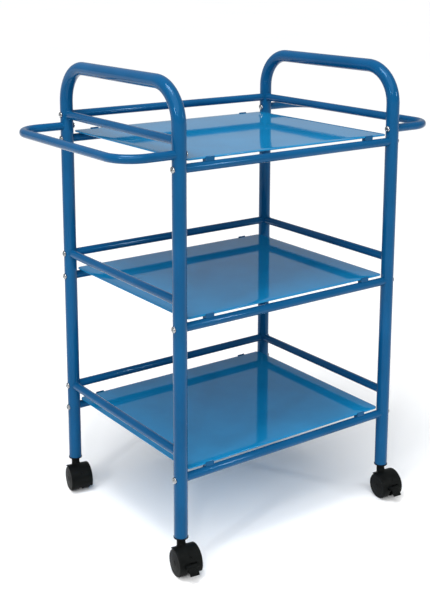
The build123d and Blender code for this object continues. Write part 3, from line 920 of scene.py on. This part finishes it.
def wheel_profile(wheel_radius):
    """Half section of a wheel, from the middle of its face round to the end of its blind bore."""
    face = []
    for radius, sunk in HUB_BUTTON + SUNK_PANEL + WHEEL_RIM:
        face.append((dome_height(radius * MM, wheel_radius) - sunk * MM, radius * MM))
    rim_edge = WHEEL_INNER_FACE + WHEEL_WIDTH - WHEEL_DOME
    shoulder = []
    for turn in steps_between(0, math.pi / 2, 6):
        x = rim_edge - WHEEL_SHOULDER * (1 - math.cos(turn))
        shoulder.append((x, wheel_radius - WHEEL_SHOULDER * (1 - math.sin(turn))))
    disc_inside = rim_edge - WHEEL_DISC_WALL
    rim_inside = wheel_radius - WHEEL_RIM_WALL
    inner = WHEEL_INNER_FACE
    nick = WHEEL_NICK
    return face + shoulder + [
        (inner + nick, wheel_radius),
        (inner, wheel_radius - nick),
        (inner, rim_inside + nick),
        (inner + nick, rim_inside),
        (disc_inside - nick, rim_inside),
        (disc_inside, rim_inside - nick),
        (disc_inside, WHEEL_HUB_RADIUS + nick),
        (disc_inside - nick, WHEEL_HUB_RADIUS),
        (inner + nick, WHEEL_HUB_RADIUS),
        (inner, WHEEL_HUB_RADIUS - nick),
        (inner, WHEEL_BORE + nick / 2),
        (inner + nick / 2, WHEEL_BORE),
        (disc_inside, WHEEL_BORE),
        (disc_inside, 0),
    ]


PEDAL_HALF_WIDTH = 9.5 * MM
PEDAL_TONGUE_HALF_WIDTH = 8.7 * MM
PEDAL_LENGTH = 17.0 * MM
PEDAL_THICKNESS = 3.0 * MM
PEDAL_SLOPE = math.radians(232)
PEDAL_TRAVEL = math.radians(25)
PEDAL_BARREL = 3.2 * MM
PEDAL_BARREL_EDGE = 0.3 * MM
PEDAL_BARREL_SIDES = 48
PIN_BORE = 1.55 * MM
CAM_REACH = 5.7 * MM
CAM_RADIUS = 1.0 * MM
CAM_INNER_FACE = 5.2 * MM
PEDAL_EDGE = 0.27 * MM
PEDAL_RIBS = 4
RIB_SPACING = 2.4 * MM
RIB_FROM_TIP = 2.6 * MM
RIB_FROM_SIDE = 1 * MM
RIB_SUNK = 0.1 * MM
RIB_HALF_WIDTH = 0.55 * MM
RIB_HEIGHT = 0.45 * MM


def bar_outline(start, turn, length, width, steps=8):
    """Side-view outline of a round-ended bar that begins flat at start."""
    forward = Vector((math.cos(turn), math.sin(turn)))
    left = Vector((-forward.y, forward.x))
    tip = start + forward * (length - width / 2)
    outline = [start - left * width / 2]
    for angle in steps_between(-math.pi / 2, math.pi / 2, steps):
        outline.append(tip + (forward * math.cos(angle) + left * math.sin(angle)) * width / 2)
    outline.append(start + left * width / 2)
    return outline


def pedal_forms(caster):
    """Brake pedal: barrel on the pin, ribbed tongue, and two cams that reach for the treads."""
    pivot = caster.pivot
    centre = caster.side(0, pivot.x, pivot.y)
    section = [
        (-PEDAL_HALF_WIDTH, PIN_BORE),
        (-PEDAL_HALF_WIDTH, PEDAL_BARREL - PEDAL_BARREL_EDGE),
        (PEDAL_BARREL_EDGE - PEDAL_HALF_WIDTH, PEDAL_BARREL),
        (PEDAL_HALF_WIDTH - PEDAL_BARREL_EDGE, PEDAL_BARREL),
        (PEDAL_HALF_WIDTH, PEDAL_BARREL - PEDAL_BARREL_EDGE),
        (PEDAL_HALF_WIDTH, PIN_BORE),
    ]
    barrel_points, barrel_faces = lathe(section, centre, caster.axle, PEDAL_BARREL_SIDES)
    last = (len(section) - 1) * PEDAL_BARREL_SIDES
    for side in range(PEDAL_BARREL_SIDES):
        after = (side + 1) % PEDAL_BARREL_SIDES
        barrel_faces.append((last + side, last + after, after, side))
    forms = [(barrel_points, barrel_faces)]
    forward = Vector((math.cos(PEDAL_SLOPE), math.sin(PEDAL_SLOPE)))
    root = pivot + forward * (PEDAL_BARREL - SUNK)
    tongue = bar_outline(root, PEDAL_SLOPE, PEDAL_LENGTH - PEDAL_BARREL + SUNK, PEDAL_THICKNESS)
    forms.append(caster.extruded(tongue, -PEDAL_TONGUE_HALF_WIDTH, PEDAL_TONGUE_HALF_WIDTH))
    cam_turn = caster.pivot_turn + math.pi - PEDAL_TRAVEL
    cam_forward = Vector((math.cos(cam_turn), math.sin(cam_turn)))
    cam_root = pivot + cam_forward * (PIN_BORE + SUNK)
    cam = bar_outline(cam_root, cam_turn, CAM_REACH - PIN_BORE - SUNK, 2 * CAM_RADIUS)
    for start, end in ((-PEDAL_HALF_WIDTH, -CAM_INNER_FACE), (CAM_INNER_FACE, PEDAL_HALF_WIDTH)):
        forms.append(caster.extruded(cam, start, end))
    return forms


def rib_forms(caster):
    """Grip ribs across the outer face of the pedal's tongue."""
    forward = Vector((math.cos(PEDAL_SLOPE), math.sin(PEDAL_SLOPE)))
    outward = Vector((forward.y, -forward.x))
    forms = []
    for rib in range(PEDAL_RIBS):
        reach = PEDAL_LENGTH - RIB_FROM_TIP - RIB_SPACING * rib
        middle = caster.pivot + forward * reach + outward * (PEDAL_THICKNESS / 2 - RIB_SUNK)
        outline = []
        for angle in steps_between(0, 2 * math.pi, 12)[:-1]:
            width = forward * math.cos(angle) * RIB_HALF_WIDTH
            outline.append(middle + width + outward * math.sin(angle) * RIB_HEIGHT)
        half = PEDAL_TONGUE_HALF_WIDTH - RIB_FROM_SIDE
        forms.append(caster.extruded(outline, -half, half))
    return forms


for corner in CORNERS:
    caster = Caster(corner)
    riding = f"{corner}_caster"

    guard = piece(f"{corner}_mudguard", [guard_form(caster)], riding, "black_hood", [f"{corner}_hood"])
    hole_spot = caster.polar(0, GUARD_INSIDE + GUARD_THICKNESS / 2, GUARD_HOLE_TURN)
    bored(guard, hole_spot, hole_spot - caster.hub, GUARD_HOLE_RADIUS, 2 * GUARD_THICKNESS)
    inner_forms = [neck_form(caster), *web_forms(caster)]
    if caster.braked:
        inner_forms += lug_forms(caster)
    piece(f"{corner}_neck_and_web", inner_forms, riding, "black_hood")

    for wheel in ("outer", "inner"):
        node = f"{corner}_wheel_{wheel}"
        facing = 1 if (node_centre(node) - caster.hub).dot(caster.axle) > 0 else -1
        form = lathe(wheel_profile(caster.hub.z), caster.hub, caster.axle * facing, WHEEL_SIDES)
        piece(f"{node}_disc", [form], f"{corner}_{wheel}_roller", "black_wheel", [node])

    collar_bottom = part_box(f"{corner}_socket")[0].z
    section = [
        (SOCKET_TOP, 0),
        (SOCKET_TOP, POST_RADIUS - TUBE_WALL),
        (TUBE_END, POST_RADIUS - TUBE_WALL),
        (TUBE_END, COLLAR_RADIUS - COLLAR_TOP_EDGE),
        (TUBE_END - COLLAR_TOP_EDGE, COLLAR_RADIUS),
    ]
    for turn in steps_between(0, math.pi / 2, 5):
        height = collar_bottom + COLLAR_EDGE * (1 - math.sin(turn))
        section.append((height, COLLAR_RADIUS - COLLAR_EDGE * (1 - math.cos(turn))))
    section += [(collar_bottom, STEM_BORE), (BORE_TOP, STEM_BORE), (BORE_TOP, 0)]
    collar = lathe(section, caster.foot, UP)
    piece(f"{corner}_collar", [collar], "frame", "black_collar", [f"{corner}_socket"])

    if caster.braked:
        brake = f"{corner}_brake"
        forms = pedal_forms(caster)
        piece(f"{corner}_pedal", forms, brake, "black_hood", [f"{corner}_brake_pedal"], PEDAL_EDGE)
        piece(f"{corner}_pedal_ribs", rib_forms(caster), brake, "black_hood")

# ---------------------------------------------------------------- CAD nodes that stay, with their finish
for node, made in frame["nodes"].items():
    if not made.hide_render:
        for place in made.material_slots:
            place.material = MATERIALS["bright_steel"]

# ---------------------------------------------------------------- floor, light and camera
FLOOR_HALF = 60.0
FLOOR_DARK = (0.95, 0.95, 0.95)
FLOOR_LIGHT = (0.97, 0.97, 0.97)
WORLD_COLOUR = (0.97, 0.985, 1.0, 1)
WORLD_STRENGTH = 0.45
SUN_STRENGTH = 2.45
SUN_ANGLE = math.radians(70)
SUN_PLACE = (-1.2, -1.4, 3.0)
MIDDLE = Vector((0, 0, 0.45))


def stage_floor():
    """Pale studio floor, with a faint cloudiness so that it isn't one flat tone."""
    material, tree, shader, coordinates = new_material("studio_floor")
    cloud = noise(tree, coordinates, scale=0.8)
    tone = shades(tree, cloud, FLOOR_DARK, FLOOR_LIGHT)
    tree.links.new(tone, shader.inputs["Base Color"])
    shader.inputs["Roughness"].default_value = 0.9
    shader.inputs["Specular IOR Level"].default_value = 0.1
    mesh = bpy.data.meshes.new("floor")
    spots = [(sx * FLOOR_HALF, sy * FLOOR_HALF, 0) for sx, sy in QUARTERS]
    mesh.from_pydata(spots, [], [(0, 1, 2, 3)])
    mesh.materials.append(material)
    floor = bpy.data.objects.new("floor", mesh)
    bpy.context.scene.collection.objects.link(floor)


def soft_light(name, place, size, power):
    """An oblong soft box at a place, aimed at the middle of the trolley."""
    lamp = bpy.data.lights.new(name, "AREA")
    lamp.shape = "RECTANGLE"
    lamp.size, lamp.size_y = size
    lamp.energy = power
    made = bpy.data.objects.new(name, lamp)
    made.location = place
    made.rotation_euler = (MIDDLE - Vector(place)).to_track_quat("-Z", "Y").to_euler()
    bpy.context.scene.collection.objects.link(made)


stage_floor()
world = bpy.data.worlds.new("studio")
world.use_nodes = True
background = world.node_tree.nodes["Background"]
background.inputs["Color"].default_value = WORLD_COLOUR
background.inputs["Strength"].default_value = WORLD_STRENGTH
bpy.context.scene.world = world


def overhead_sun():
    """One very broad lamp for the whole floor, so that it stays evenly pale."""
    lamp = bpy.data.lights.new("overhead", "SUN")
    lamp.energy = SUN_STRENGTH
    lamp.angle = SUN_ANGLE
    made = bpy.data.objects.new("overhead", lamp)
    made.location = SUN_PLACE
    made.rotation_euler = (MIDDLE - made.location).to_track_quat("-Z", "Y").to_euler()
    bpy.context.scene.collection.objects.link(made)


overhead_sun()
soft_light("left_strip", place=(-2.4, -0.9, 1.5), size=(0.1, 0.5), power=11)
soft_light("front_strip", place=(-1.9, -2.0, 1.75), size=(0.1, 0.5), power=9)
soft_light("right_strip", place=(1.5, -2.4, 1.6), size=(0.12, 0.45), power=9)
soft_light("top_soft_box", place=(-0.7, -0.3, 2.4), size=(0.9, 0.5), power=22)

CAMERA_TURN = 35.78  # degrees to the left of straight behind the open front
CAMERA_DOWN = 11.47
CAMERA_ROLL = 0.1
CAMERA_PLACE = (-1.232, -1.665, 1.076)
CAMERA_LENS = 64.5
CAMERA_SHIFT = -0.2

lens = bpy.data.cameras.new("camera")
lens.lens = CAMERA_LENS
lens.sensor_width = 36
lens.shift_y = CAMERA_SHIFT
lens.clip_end = 200
camera = bpy.data.objects.new("camera", lens)
camera.location = CAMERA_PLACE
level_view = Euler((math.radians(90 - CAMERA_DOWN), 0, math.radians(-CAMERA_TURN))).to_quaternion()
camera.rotation_mode = "QUATERNION"
camera.rotation_quaternion = level_view @ Quaternion((0, 0, 1), math.radians(CAMERA_ROLL))
bpy.context.scene.collection.objects.link(camera)
bpy.context.scene.camera = camera
bpy.context.scene.view_settings.view_transform = "Standard"

# ---------------------------------------------------------------- the end
bpy.context.view_layer.update()
